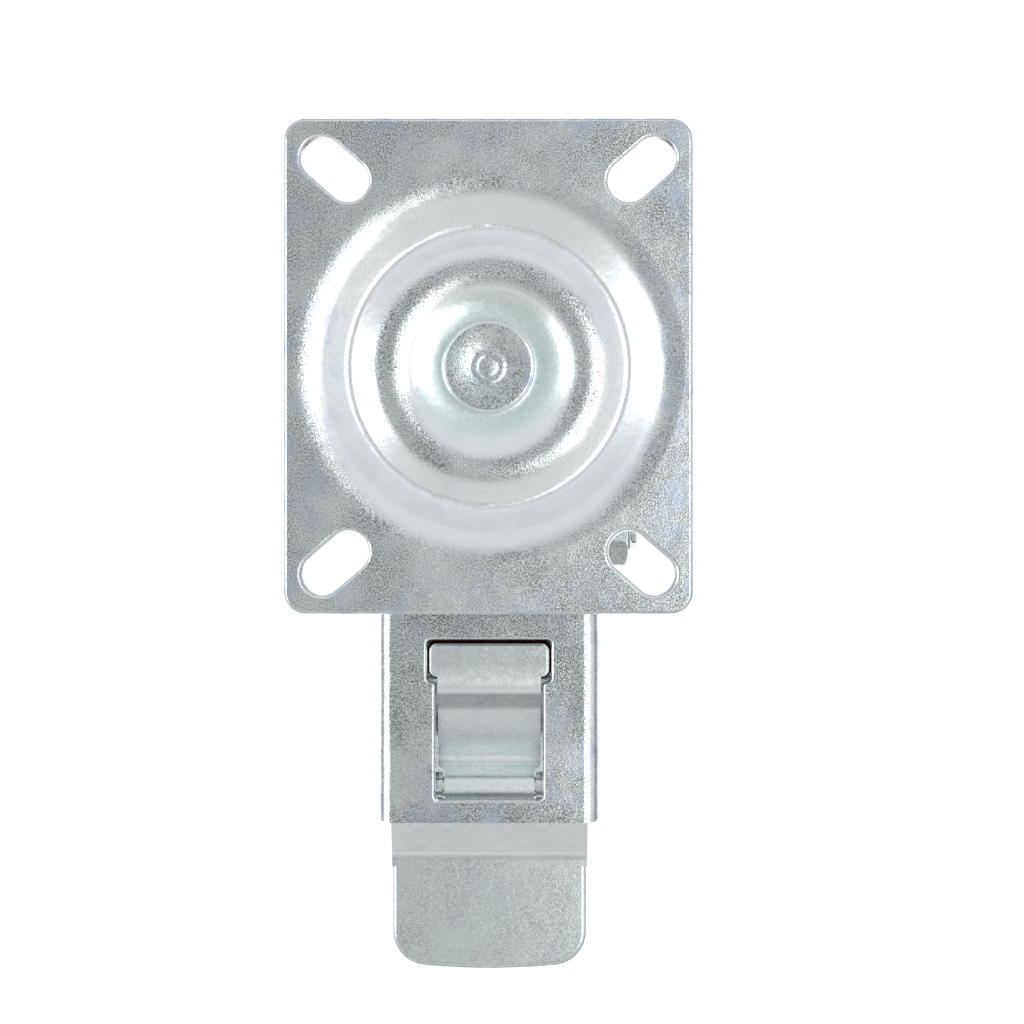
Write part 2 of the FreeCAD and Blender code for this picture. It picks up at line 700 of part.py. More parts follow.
def make_wheel_core():
    """Rim, web and hub in one moulding, with ribs on both sides and a seat for each bearing."""
    rim = TREAD_WIDTH / 2 - CORE_STEP
    hub = bearing_face
    web = CORE_WEB / 2
    inner_rim = rim_radius - RIM_THICKNESS
    half = [(web, inner_rim), (rim, inner_rim), (rim, rim_radius)]
    points = [(hub, tube_radius + HUB_CLEARANCE), (hub, hub_radius), (web, hub_radius)] + half
    points += [(-x, r) for x, r in reversed(points)]
    bends = [0, CORE_EDGE_ROUND, CORE_BEND, CORE_BEND, CORE_EDGE_ROUND, RIM_EDGE_ROUND]
    core = axle_turned(points, bends + bends[::-1])
    rib_reach = rim - CORE_RIB_RECESS
    rib = Part.makeBox(2 * rib_reach, CORE_RIB_WIDTH, inner_rim - hub_radius + CORE_BEND,
                       AXLE + FreeCAD.Vector(-rib_reach, -CORE_RIB_WIDTH / 2, hub_radius - CORE_BEND / 2))
    ribs = [rib.rotated(AXLE, ALONG_X, 360 * index / CORE_RIBS) for index in range(CORE_RIBS)]
    core = fuse([core] + ribs)
    for hand in (-1, 1):
        core = core.cut(rod(bearing_outer, *bearing_span(hand), AXLE))
    return core


def make_tread():
    half = TREAD_WIDTH / 2
    points = [(-half, rim_radius), (half, rim_radius), (half, WHEEL_RADIUS), (-half, WHEEL_RADIUS)]
    return axle_turned(points, [0, 0, TREAD_SHOULDER, TREAD_SHOULDER])


def pedal_section():
    """The pedal's bent sheet from the side: tab, dip, saddle over the pin, slope and foot plate."""
    saddle_top = pedal_pin_z + saddle_radius
    dip = side(pedal_pin_y + saddle_radius + DIP_AHEAD, housing_top - DIP_DROP)
    step = side(tab_end - TAB_REAR_FLAT - NECK_DROP_RUN, housing_top - NECK_DROP)
    flat_end = side(tab_end - TAB_REAR_FLAT, housing_top)
    slope_end = side(-FOOT_START, foot_top)
    level = [side(0, saddle_top), side(-1, saddle_top)]
    front_top = crossing(dip, touching(dip, PEDAL_PIN, saddle_radius, ALONG_X, -1), *level)
    rear_top = crossing(slope_end, touching(slope_end, PEDAL_PIN, saddle_radius, ALONG_X, 1), *level)
    run = [side(tab_start, housing_top), flat_end, step, dip, front_top, rear_top, slope_end,
           side(-FOOT_END - FOOT_BOW, foot_top)]
    bends = [PEDAL_BEND, 4 * PEDAL_BEND, PEDAL_BEND, saddle_bore, saddle_bore, 2 * PEDAL_BEND]
    return sheet_section(run, bends, PEDAL_SHEET, ALONG_X)


def pedal_plan():
    """The pedal's blank from above: T-head, neck, narrow saddle and the wide foot plate."""
    half = [
        (tab_half_width, tab_start, TAB_CORNER),
        (tab_half_width, tab_end, TAB_CORNER),
        (neck_half_width, tab_end, 0),
        (neck_half_width, pedal_pin_y + saddle_radius, BLANK_CORNER),
        (saddle_half_width, pedal_pin_y + saddle_radius, BLANK_CORNER),
        (saddle_half_width, pedal_pin_y - saddle_radius, BLANK_CORNER),
        (foot_half_width, pedal_pin_y - saddle_radius, BLANK_CORNER),
        (foot_half_width, -FOOT_START - FOOT_OVERLAP, 0),
    ]
    return mirrored_outline(half)


def foot_plate(inset, top, bottom):
    """The foot plate's outline, straight at the sides and slightly bowed at its end."""
    half = foot_half_width - inset
    end = -FOOT_END + inset
    crown = -FOOT_END - FOOT_BOW + inset
    corner = FOOT_CORNER - inset
    start = -FOOT_START
    bow = Part.Arc(plan(-half, end), plan(0, crown), plan(half, end)).toShape()
    wire = Part.Wire([
        Part.makeLine(plan(-half, start), plan(-half, end)), bow,
        Part.makeLine(plan(half, end), plan(half, start)),
        Part.makeLine(plan(half, start), plan(-half, start)),
    ])
    slab = upright(Part.Face(wire), top, bottom)

    def is_rear_corner(edge):
        box = edge.BoundBox
        return box.ZMax - box.ZMin > (top - bottom) / 2 and box.YMax < start - EDGE_TOLERANCE

    return round_edges(slab, corner, is_rear_corner)


def make_pedal():
    sheet = across(pedal_section(), fork_outer)
    sheet = sheet.common(upright(pedal_plan(), 0, -FOOT_END))

    def is_tab_edge(edge):
        return at_height(edge, housing_top) and edge.BoundBox.YMin > tab_end - EDGE_TOLERANCE

    sheet = round_edges(sheet, TAB_EDGE_ROUND, is_tab_edge)
    plate = foot_plate(0, foot_top, foot_top - FOOT_FLANGE)

    def is_rolled_edge(edge):
        return at_height(edge, foot_top) and edge.BoundBox.YMin < -FOOT_START - EDGE_TOLERANCE

    plate = round_edges(plate, FOOT_ROLL, is_rolled_edge)
    plate = plate.cut(foot_plate(PEDAL_SHEET, foot_top - PEDAL_SHEET, foot_top - 2 * FOOT_FLANGE))
    return fuse([sheet, plate])


def cam_tip():
    """The centre of the cam's round tip, so far from the pin that the cam gap is left over the lever."""
    ray = side(-math.cos(math.radians(CAM_ANGLE)), -math.sin(math.radians(CAM_ANGLE)))
    wanted = lever_over_wheel + CAM_GAP + CAM_TIP_RADIUS
    reach = ((PEDAL_PIN - AXLE).dot(SHOE_NORMAL) - wanted) / -ray.dot(SHOE_NORMAL)
    return PEDAL_PIN + ray * reach


def make_pedal_bracket():
    """Two ears that carry the pedal on its pin, each with a cam, and the bridge that joins them."""
    tip = cam_tip()
    down = (tip - PEDAL_PIN).normalize()
    across_ear = ALONG_X.cross(down)
    shape = Part.Face(Part.Wire([
        Part.makeLine(PEDAL_PIN + across_ear * ear_radius, tip + across_ear * CAM_TIP_RADIUS),
        Part.Arc(tip + across_ear * CAM_TIP_RADIUS, tip + down * CAM_TIP_RADIUS,
                 tip - across_ear * CAM_TIP_RADIUS).toShape(),
        Part.makeLine(tip - across_ear * CAM_TIP_RADIUS, PEDAL_PIN - across_ear * ear_radius),
        Part.Arc(PEDAL_PIN - across_ear * ear_radius, PEDAL_PIN - down * ear_radius,
                 PEDAL_PIN + across_ear * ear_radius).toShape(),
    ]))
    inner = saddle_half_width - EAR_SHEET
    cams = []
    for start_x in (-saddle_half_width, inner):
        cams.append(shape.translated(ALONG_X * start_x).extrude(ALONG_X * EAR_SHEET))
    bridge_z = PEDAL_PIN.z - ear_radius
    bridge = Part.makeBox(2 * inner, BRIDGE_DEPTH, EAR_SHEET,
                          FreeCAD.Vector(-inner, pedal_pin_y - BRIDGE_DEPTH / 2, bridge_z - EAR_SHEET))
    bracket = fuse(cams + [bridge])
    bracket = bracket.cut(rod(PEDAL_PIN_RADIUS + PIN_RUNNING_CLEARANCE, -fork_outer, fork_outer, PEDAL_PIN))
    return bracket.cut(across(pedal_section(), fork_outer))


def make_pedal_sleeve(hand):
    span = sorted((hand * (saddle_half_width + SLEEVE_GAP), hand * fork_inner))
    return tube(PEDAL_PIN_RADIUS + SLEEVE_WALL, PEDAL_PIN_RADIUS, *span, PEDAL_PIN)


def lever_section():
    """The brake lever's sheet from the side: upright tooth, tongue, seat under the pin, shoe arm."""
    over_wheel = AXLE + SHOE_NORMAL * lever_over_wheel
    seat_front = side(lever_pin_y + lever_cross, lever_top)
    seat_rear = side(lever_pin_y - lever_cross, lever_top)
    shoe_line = [over_wheel, over_wheel + SHOE_DOWNHILL]
    arm_start = crossing(*shoe_line, side(-LEVER_HOLE_END, 0), side(-LEVER_HOLE_END, -1))
    arm_end = crossing(*shoe_line, side(-LEVER_END, 0), side(-LEVER_END, -1))
    tooth_foot = side(tooth_y - LEVER_SHEET, tooth_top - TOOTH_HEIGHT)
    run = [side(tooth_y - LEVER_SHEET, tooth_top), tooth_foot, seat_front, seat_rear, arm_start, arm_end]
    bends = [LEVER_BEND / 2, LEVER_BEND, LEVER_BEND, LEVER_BEND]
    return sheet_section(run, bends, LEVER_SHEET, ALONG_X)


def lever_plan():
    """The brake lever's blank from above, less the opening between its two arms."""
    tooth_half = LOCK_NOTCH_WIDTH / 2 - TOOTH_SIDE_GAP
    tongue_start = tooth_y - 2 * LEVER_SHEET
    cross_half = fork_inner - LEVER_EAR_INSET
    cross_start = lever_pin_y + lever_cross
    cross_end = lever_pin_y - lever_cross
    half = [
        (tooth_half, tooth_y + LEVER_SHEET, 0),
        (tooth_half, tongue_start, 0),
        (TONGUE_HALF_WIDTH, tongue_start, TONGUE_CORNER),
        (TONGUE_HALF_WIDTH, cross_start, TONGUE_CORNER),
        (cross_half, cross_start, BLANK_CORNER),
        (cross_half, cross_end, 0),
        (lever_half_width, cross_end, 0),
        (lever_half_width, -LEVER_END, LEVER_CORNER),
    ]
    hole_half = lever_half_width - ARM_WIDTH
    hole = [(hole_half, cross_end, LEVER_CORNER), (hole_half, -LEVER_HOLE_END, LEVER_CORNER)]
    return mirrored_outline(half).cut(mirrored_outline(hole))


def make_brake_lever():
    lever = across(lever_section(), fork_inner).common(upright(lever_plan(), 0, -2 * WHEEL_RADIUS))
    ears = []
    for start_x in (-fork_inner + LEVER_EAR_INSET, fork_inner - LEVER_EAR_INSET - LEVER_SHEET):
        ears.append(rod(lever_ear_radius, start_x, start_x + LEVER_SHEET, LEVER_PIN))
        ears.append(Part.makeBox(
            LEVER_SHEET, 2 * lever_ear_radius, lever_pin_z - lever_top + LEVER_SHEET / 2,
            FreeCAD.Vector(start_x, lever_pin_y - lever_ear_radius, lever_top - LEVER_SHEET / 2)))
    lever = fuse([lever] + ears)
    lever = lever.cut(rod(LEVER_PIN_RADIUS + PIN_RUNNING_CLEARANCE, -fork_outer, fork_outer, LEVER_PIN))
    return lever.cut(Part.makeCompound([rivet_shank(hand) for hand in (-1, 1)]))


def rivet_shank(hand):
    start = shoe_inner + RIVET_RECESS
    foot = AXLE + ALONG_X * (hand * RIVET_PITCH / 2) + SHOE_NORMAL * start
    return Part.makeCylinder(RIVET_RADIUS, lever_over_wheel - start, foot, SHOE_NORMAL)


def make_shoe_rivets():
    """Two separate rivets, their feet sunk above the shoe's worn face."""
    rivets = []
    for hand in (-1, 1):
        seat = AXLE + ALONG_X * (hand * RIVET_PITCH / 2) + SHOE_NORMAL * lever_over_wheel
        head = Part.makeCylinder(RIVET_HEAD_RADIUS, RIVET_HEAD_HEIGHT, seat, SHOE_NORMAL)
        top = seat + SHOE_NORMAL * RIVET_HEAD_HEIGHT
        head = round_edges(head, RIVET_HEAD_HEIGHT / 2,
                           lambda edge: (edge.CenterOfMass - top).Length < EDGE_TOLERANCE)
        rivets.append(fuse([rivet_shank(hand), head]))
    return Part.makeCompound(rivets)


def make_brake_shoe():
    """A block under the brake lever, hollowed to the tread's curve."""
    corners = []
    for along, distance in ((-1, shoe_outer), (1, shoe_outer), (1, WHEEL_RADIUS), (-1, WHEEL_RADIUS)):
        corners.append(AXLE + SHOE_DOWNHILL * (along * SHOE_LENGTH / 2) + SHOE_NORMAL * distance)
    block = across(outline(corners, [0] * 4), shoe_half_width)
    block = block.cut(rod(shoe_inner, -fork_outer, fork_outer, AXLE))
    holes = []
    for hand in (-1, 1):
        foot = AXLE + ALONG_X * (hand * RIVET_PITCH / 2) + SHOE_NORMAL * WHEEL_RADIUS
        holes.append(Part.makeCylinder(RIVET_RADIUS, 2 * SHOE_THICKNESS, foot, SHOE_NORMAL))
    return block.cut(Part.makeCompound(holes))


def make_nodes():
    nodes = {
        "top_plate": make_top_plate(),
        "king_pin": make_king_pin(),
        "lower_race": make_lower_race(),
        "lock_ring": make_lock_ring(),
        "upper_balls": swivel_balls(UPPER_BALL, UPPER_RACE_RADIUS, upper_ball_z),
        "lower_balls": swivel_balls(LOWER_BALL, lower_race_radius, lower_ball_z),
        "fork": make_fork(),
        "axle_bolt": make_axle_bolt(),
        "axle_nut": make_axle_nut(),
        "nut_insert": make_nut_insert(),
        "axle_tube": make_axle_tube(),
        "pedal_pin": rod(PEDAL_PIN_RADIUS, -fork_outer, fork_outer, PEDAL_PIN),
        "brake_pin": rod(LEVER_PIN_RADIUS, -fork_outer, fork_outer, LEVER_PIN),
        "pedal": make_pedal(),
        "pedal_bracket": make_pedal_bracket(),
        "brake_lever": make_brake_lever(),
        "brake_shoe": make_brake_shoe(),
        "shoe_rivets": make_shoe_rivets(),
        "wheel_core": make_wheel_core(),
        "tread": make_tread(),
    }
    for name, hand in (("left", -1), ("right", 1)):
        nodes["axle_washer_" + name] = make_axle_washer(hand)
        nodes["bearing_inner_" + name] = make_bearing_inner(hand)
        nodes["bearing_outer_" + name] = make_bearing_outer(hand)
        nodes["bearing_balls_" + name] = make_bearing_balls(hand)
        nodes["bearing_shield_" + name] = make_bearing_shield(hand)
        nodes["pedal_sleeve_" + name] = make_pedal_sleeve(hand)
    return nodes


os.makedirs("parts", exist_ok=True)
for node, shape in make_nodes().items():
    shape.exportStep(os.path.join("parts", node + ".step"))
    print(node, "volume", round(shape.Volume, 1), "solids", len(shape.Solids), "valid", shape.isValid())
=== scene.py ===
# %% [markdown]
# # A swivel castor with a total-lock pedal
#
# The castor is a set of pressed, turned and moulded pieces that were measured and packed beforehand.
# This lesson loads them, gives each one the finish of the real thing, and models again the two pieces
# whose small details are too fine for the imported parts: the rivet in the middle and the threaded axle
# bolt. Lengths are in metres, +Z is up, and the top of the plate is at height zero.

# %% [markdown]
# ## The imported castor
#
# Its box is kept, and the floor is set at its lowest point further on.

# %% Load the imported castor
import math

import bmesh
import bpy
from mathutils import Matrix, Vector


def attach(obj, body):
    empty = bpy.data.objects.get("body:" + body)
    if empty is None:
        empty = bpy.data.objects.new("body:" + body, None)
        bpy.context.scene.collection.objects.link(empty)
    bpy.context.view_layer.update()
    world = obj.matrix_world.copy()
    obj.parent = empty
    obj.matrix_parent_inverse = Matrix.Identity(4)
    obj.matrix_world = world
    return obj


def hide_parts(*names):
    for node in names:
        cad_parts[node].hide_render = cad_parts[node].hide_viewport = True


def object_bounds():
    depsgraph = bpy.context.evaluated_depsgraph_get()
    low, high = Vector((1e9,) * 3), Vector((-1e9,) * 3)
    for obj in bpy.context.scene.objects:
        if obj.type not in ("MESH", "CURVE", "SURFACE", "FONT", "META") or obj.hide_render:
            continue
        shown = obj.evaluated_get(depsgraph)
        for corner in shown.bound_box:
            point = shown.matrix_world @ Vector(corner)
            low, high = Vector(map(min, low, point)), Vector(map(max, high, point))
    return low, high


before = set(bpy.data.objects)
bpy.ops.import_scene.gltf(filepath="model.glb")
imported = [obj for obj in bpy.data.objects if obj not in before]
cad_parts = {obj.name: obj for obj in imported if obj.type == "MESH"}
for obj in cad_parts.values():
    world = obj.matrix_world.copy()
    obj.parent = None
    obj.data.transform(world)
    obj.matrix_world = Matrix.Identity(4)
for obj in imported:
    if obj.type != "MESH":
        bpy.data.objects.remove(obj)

CAD_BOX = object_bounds()
MM = 0.001
print("packed pieces:", len(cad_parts))
print("box:", [tuple(round(value, 4) for value in corner) for corner in CAD_BOX])

# %% [markdown]
# ## A few words for building finishes
#
# Every finish here is a small network of nodes. Writing each node out in full would bury the idea, so
# a few helpers come first. `put` adds one node and wires its inputs. `place` gives the position on the
# piece in millimetres, so that a pattern's size can be read straight off. `mottle` is a cloudy pattern
# with blotches of a chosen size, and `fit` stretches a range of values onto another.

# %% Helpers for places and patterns
def put(tree, kind, feeds=None, **settings):
    """Add a node. A feed is a plain value, or the socket that drives that input."""
    made = tree.nodes.new(kind)
    for key, value in settings.items():
        setattr(made, key, value)
    for key, value in (feeds or {}).items():
        if isinstance(value, bpy.types.NodeSocket):
            tree.links.new(value, made.inputs[key])
        else:
            made.inputs[key].default_value = value
    return made


def place(tree, stretch=(1, 1, 1)):
    """The position on the piece in millimetres, drawn out along an axis where stretch is above one."""
    where = put(tree, "ShaderNodeTexCoord").outputs["Object"]
    scale = [1 / (MM * amount) for amount in stretch]
    return put(tree, "ShaderNodeMapping", {"Vector": where, "Scale": scale}).outputs["Vector"]


def mottle(tree, where, size, detail=2.0, edge=0.5):
    """A cloudy pattern from 0 to 1 with blotches about size millimetres across."""
    feeds = {"Vector": where, "Scale": 1 / size, "Detail": detail, "Roughness": edge}
    return put(tree, "ShaderNodeTexNoise", feeds).outputs["Fac"]


def fit(tree, value, low, high, to_low=0.0, to_high=1.0):
    """Stretch the values from low to high onto another range, and hold them there beyond it."""
    feeds = {"Value": value, "From Min": low, "From Max": high, "To Min": to_low, "To Max": to_high}
    return put(tree, "ShaderNodeMapRange", feeds).outputs["Result"]


print("pattern helpers ready")

# %% [markdown]
# The next helpers put patterns to use: they do sums with them, fade between colours, and turn a pattern
# into relief. The last two begin and end a finish, so that every finish has the same frame around it.

# %% Helpers for colour and relief
def calc(tree, operation, first, second):
    """Plain arithmetic on two values."""
    return put(tree, "ShaderNodeMath", {0: first, 1: second}, operation=operation).outputs["Value"]


def blend(tree, amount, first, second):
    """Fade from the first colour to the second."""
    made = put(tree, "ShaderNodeMix", {0: amount, 6: first, 7: second}, data_type="RGBA")
    return made.outputs[2]


def bump(tree, height, depth, over=None):
    """Turn a height from 0 to 1 into relief of that depth in millimetres, on top of another relief."""
    feeds = {"Height": height, "Distance": depth * MM, "Strength": 1.0}
    if over is not None:
        feeds["Normal"] = over
    return put(tree, "ShaderNodeBump", feeds).outputs["Normal"]


def start_finish(name):
    """A new material with nothing in it but its output."""
    made = bpy.data.materials.new(name)
    made.use_nodes = True
    made.node_tree.nodes.clear()
    return made, made.node_tree


def end_finish(tree, **feeds):
    """The surface shader that every finish ends in."""
    named = {key.replace("_", " "): value for key, value in feeds.items()}
    shader = put(tree, "ShaderNodeBsdfPrincipled", named)
    put(tree, "ShaderNodeOutputMaterial", {"Surface": shader.outputs["BSDF"]})


def colour(red, green, blue):
    return (red, green, blue, 1.0)


print("colour and relief helpers ready")

# %% [markdown]
# ## Bright zinc on pressed sheet
#
# The plate, the fork, the pedal and the lever are hot-rolled sheet, pressed and then plated with bright
# zinc. Plating follows the sheet's own skin, so the surface sparkles with grains about half a
# millimetre across. The clear passivation over it turns faintly blue, violet or sea green, mostly
# towards the edges. The colours come first: dark speckles on bright zinc, a paler tone where the skin
# is smooth, which is partly a painted highlight for the brighter reflections there, and slow drifts of
# tint.

# %% Colours of bright zinc
ZINC = colour(0.87, 0.91, 0.91)
# The paler smooth tone is partly a painted highlight for the brighter reflections of smooth places.
ZINC_SMOOTH_AND_HIGHLIGHT = colour(0.94, 0.96, 0.97)
ZINC_DULL = colour(0.17, 0.18, 0.19)
ZINC_BLUE = colour(0.55, 0.64, 0.80)
ZINC_GREEN = colour(0.80, 0.93, 0.91)
ZINC_VIOLET = colour(0.66, 0.66, 0.76)
TINT_RISE = 0.18


def zinc_colour(tree, where, speckle, smooth, green, blue):
    """Zinc with dark speckles, a paler painted highlight where smooth, with slow drifts of green, blue
    and violet.
    """
    base = blend(tree, speckle, ZINC, ZINC_DULL)
    # Painted highlight: smooth places get a paler colour that stands in for their brighter reflections.
    base = blend(tree, smooth, base, ZINC_SMOOTH_AND_HIGHLIGHT)
    base = blend(tree, fit(tree, green, 0.5, 1.0), base, ZINC_GREEN)
    drifts = [(15, 0.44, ZINC_GREEN, green), (9, 0.50, ZINC_BLUE, blue), (12, 0.56, ZINC_VIOLET, blue)]
    for size, low, shade, amount in drifts:
        patch = fit(tree, mottle(tree, where, size, 4, 0.6), low, low + TINT_RISE)
        base = blend(tree, calc(tree, "MULTIPLY", patch, amount), base, shade)
    return base


print("zinc colours ready")

# %% [markdown]
# The whole finish adds relief to those colours. Three patterns are laid over one another: the slow wave
# of the sheet, the orange-peel of the plating, and the grain. Where the skin is calm the grain fades
# out and the gloss turns slightly hazy, which blurs what the metal reflects, and the colour is painted
# paler there as a painted highlight.

# %% Bright zinc
SHEET_WAVE = 17
PEEL = 2.6
GRAIN = 0.48
SPECKLE = 0.45
SPECKLE_DRIFT = 26
GLOSS_DRIFT = 0.9
CALM_HAZE = 0.12


def level(tree, amount):
    """The value of an amount that is either a plain number or a mask."""
    return amount(tree) if callable(amount) else amount


def make_zinc(name, relief, wave, green=0.2, blue=0.2, calm=0.0, dark=0.8):
    """Bright zinc. Relief is the depth of the grain and wave that of the sheet, in millimetres.

    Green and blue are the strength of the tints, calm is how far the grain is ironed out and the colour
    painted paler as a painted highlight, and dark is the strength of the speckles. Each of these four is
    a plain number or a mask.
    """
    made, tree = start_finish(name)
    where = place(tree)
    smooth = level(tree, calm)
    grainy = calc(tree, "SUBTRACT", 1.0, smooth)
    patchy = fit(tree, mottle(tree, where, SPECKLE_DRIFT, 3, 0.6), 0.38, 0.62, 0.45, 1.3)
    sparkle = calc(tree, "MULTIPLY", mottle(tree, where, GRAIN, 2, 0.8), grainy)
    speckle = fit(tree, mottle(tree, where, SPECKLE, 2, 0.8), 0.44, 0.62)
    speckle = calc(tree, "MULTIPLY", calc(tree, "MULTIPLY", speckle, patchy), grainy)
    speckle = calc(tree, "MULTIPLY", speckle, level(tree, dark))
    normal = bump(tree, mottle(tree, where, SHEET_WAVE, 2, 0.4), wave)
    normal = bump(tree, mottle(tree, where, PEEL, 3, 0.5), relief, normal)
    normal = bump(tree, sparkle, relief, normal)
    rough = fit(tree, mottle(tree, where, GLOSS_DRIFT, 3, 0.6), 0.35, 0.65, 0.12, 0.24)
    rough = calc(tree, "ADD", rough, calc(tree, "MULTIPLY", smooth, CALM_HAZE))
    tinted = zinc_colour(tree, where, speckle, smooth, level(tree, green), level(tree, blue))
    end_finish(tree, Base_Color=tinted, Metallic=1.0, Roughness=rough, Normal=normal)
    return made


print("bright zinc ready")

# %% [markdown]
# ## Where the zinc changes
#
# Plating is thicker at edges and thinner in hollows, and a press tool irons the grain flat where it
# rubs hardest. So each pressed piece gets the same zinc with its own places for the tints and for the
# calm skin, which is also painted paler as a painted highlight. A place is a mask: a number from 0 to 1
# that is worked out from the position on the piece, or from the way its surface faces. Each of these
# helpers hands back a small function that builds the mask later, inside whichever finish it is given to.

# %% Simple masks
def band(axis, start, end, least=0.0, most=1.0):
    """A mask that grows from start to end along one axis, in millimetres."""
    def build(tree):
        position = put(tree, "ShaderNodeSeparateXYZ", {"Vector": place(tree)}).outputs[axis]
        return fit(tree, position, start, end, least, most)
    return build


def ring(start, end, least=0.0, most=1.0):
    """A mask that grows from start to end with the distance from the swivel axis, in millimetres."""
    def build(tree):
        flat = put(tree, "ShaderNodeVectorMath", {0: place(tree), 1: (1, 1, 0)}, operation="MULTIPLY")
        reach = put(tree, "ShaderNodeVectorMath", {0: flat.outputs["Vector"]}, operation="LENGTH")
        return fit(tree, reach.outputs["Value"], start, end, least, most)
    return build


def facing(axis, start, end):
    """A mask that grows as the surface turns towards an axis, or away from it when end is below start."""
    def build(tree):
        turned = put(tree, "ShaderNodeTexCoord").outputs["Normal"]
        return fit(tree, put(tree, "ShaderNodeSeparateXYZ", {"Vector": turned}).outputs[axis], start, end)
    return build


print("simple masks ready")

# %% [markdown]
# Masks can be put together. `both` keeps what two masks share and `strongest` keeps what any of several
# has, and the last two use them for a stretch along an axis and for the margins on both sides.

# %% Masks put together
def both(first, second):
    """A mask that is strong only where two masks are."""
    return lambda tree: calc(tree, "MULTIPLY", first(tree), second(tree))


def strongest(*masks):
    """A mask that is as strong as the strongest of several."""
    def build(tree):
        top = masks[0](tree)
        for mask in masks[1:]:
            top = calc(tree, "MAXIMUM", top, mask(tree))
        return top
    return build


def margins(axis, start, end, least=0.0, most=1.0):
    """A mask that grows from start to end on both sides of the middle, in millimetres."""
    return strongest(band(axis, start, end, least, most), band(axis, -start, -end, least, most))


def span(axis, first, last, fade=2.0):
    """A mask that is one from first to last along an axis, and fades out on both sides."""
    return both(band(axis, first - fade, first), band(axis, last + fade, last))


print("put-together masks ready")

# %% [markdown]
# On the plate the skin is calm, and painted paler as a painted highlight, in the bowl around the rivet,
# in the narrow ring of the valley, on the slopes that face back and on every tight bend. The bowl is sea
# green, and the edges drift to blue.

# %% Zinc on the plate
on_bends = both(facing("Z", 0.97, 0.88), facing("Z", 0.05, 0.25))
on_back_slopes = facing("Y", 0.12, 0.30)
in_bowl = ring(24, 18)
in_valley = both(ring(35.5, 36.5), ring(41, 40))
side_edges = margins("X", 38, 54, least=0.12, most=0.8)
end_edges = margins("Y", 56, 67, least=0.12, most=0.8)
# The calm places are also painted paler, a painted highlight on bowl, valley, back slopes and bends.
zinc_plate = make_zinc("zinc_on_plate", relief=0.060, wave=0.30, green=ring(24, 18, least=0.2, most=0.9),
                       blue=strongest(side_edges, end_edges),
                       calm=strongest(in_bowl, in_valley, on_back_slopes, on_bends), dark=1.0)
print("finish:", zinc_plate.name)

# %% [markdown]
# The fork is the dullest piece and the pedal the brightest, with a smooth neck that is painted paler as a
# painted highlight. The rivet is speckled inside its rim, its rim is painted paler as a painted
# highlight, and it is bluish on one side.

# %% Zinc on the fork, the pedal and the rest
fork_edges = strongest(band("X", 14, 26, least=0.2, most=0.5), band("Y", -112, -122, least=0.2, most=0.7))
zinc_fork = make_zinc("zinc_on_fork", relief=0.045, wave=0.45, green=0.25, blue=fork_edges, calm=on_bends,
                      dark=1.25)
# Painted highlight: the neck is made calm, so its colour is painted paler.
highlit_pedal_neck = span("Y", -134, -87, fade=5)
zinc_pedal = make_zinc("zinc_on_pedal", relief=0.045, wave=0.10, green=0.4, blue=0.1,
                       calm=strongest(highlit_pedal_neck, facing("Y", 0.15, 0.35), on_bends), dark=0.42)
zinc_lever = make_zinc("zinc_on_lever", relief=0.018, wave=0.20, green=0.5)
zinc_hardware = make_zinc("zinc_on_hardware", relief=0.020, wave=0.0, green=0.3, blue=0.25, dark=0.5)
# Painted highlight: the rim beyond 11.9 mm is made calm and so painted paler.
zinc_rivet = make_zinc("zinc_on_rivet", relief=0.060, wave=0.25, green=0.5,
                       blue=band("X", -4, 10, least=0.1, most=0.9), calm=ring(11.5, 11.9), dark=1.1)
print("finishes:", [made.name for made in (zinc_fork, zinc_pedal, zinc_lever, zinc_hardware, zinc_rivet)])

# %% [markdown]
# ## Ground steel
#
# Balls and bearing rings are hardened, ground and unplated, under a thin film of grease.

# %% Ground steel
STEEL = colour(0.56, 0.55, 0.53)
STEEL_DARK = colour(0.40, 0.39, 0.38)


def make_ground_steel():
    made, tree = start_finish("ground_steel")
    where = place(tree)
    film = fit(tree, mottle(tree, where, 2.4, 3), 0.4, 0.7)
    rough = fit(tree, mottle(tree, where, 0.4, 2), 0.3, 0.7, 0.10, 0.22)
    normal = bump(tree, mottle(tree, where, 0.3, 2), 0.001)
    end_finish(tree, Base_Color=blend(tree, film, STEEL, STEEL_DARK), Metallic=1.0, Roughness=rough,
               Normal=normal)
    return made


ground_steel = make_ground_steel()
print("finish:", ground_steel.name)

# %% [markdown]
# ## Cast polyurethane
#
# The tread is poured around the core and turned to size. It is a tough, slightly waxy brown-red with
# very fine lathe lines around it and a little dust in them.

# %% Polyurethane
TREAD_RED = colour(0.230, 0.030, 0.028)
TREAD_DEEP = colour(0.140, 0.016, 0.018)
TREAD_DUST = colour(0.330, 0.110, 0.095)


def make_polyurethane():
    made, tree = start_finish("cast_polyurethane")
    where = place(tree)
    drawn_out = place(tree, (1, 30, 30))
    cloud = fit(tree, mottle(tree, where, 12, 3), 0.35, 0.7)
    base = blend(tree, cloud, TREAD_RED, TREAD_DEEP)
    dust = fit(tree, mottle(tree, where, 1.6, 4, 0.65), 0.58, 0.78, 0, 0.35)
    base = blend(tree, dust, base, TREAD_DUST)
    rough = fit(tree, mottle(tree, where, 4, 3), 0.3, 0.7, 0.34, 0.50)
    normal = bump(tree, mottle(tree, drawn_out, 0.5, 2), 0.02)
    normal = bump(tree, mottle(tree, where, 0.8, 3), 0.012, normal)
    end_finish(tree, Base_Color=base, Roughness=rough, Normal=normal, Subsurface_Weight=0.12,
               Subsurface_Scale=0.002, Specular_IOR_Level=0.45)
    return made


polyurethane = make_polyurethane()
print("finish:", polyurethane.name)

# %% [markdown]
# ## Moulded plastics
#
# The wheel's core is glass-filled nylon from a spark-eroded mould: charcoal, even and finely grained.
# The ring that locks the nut is plain natural nylon, and the bearings' shields are black rubber.

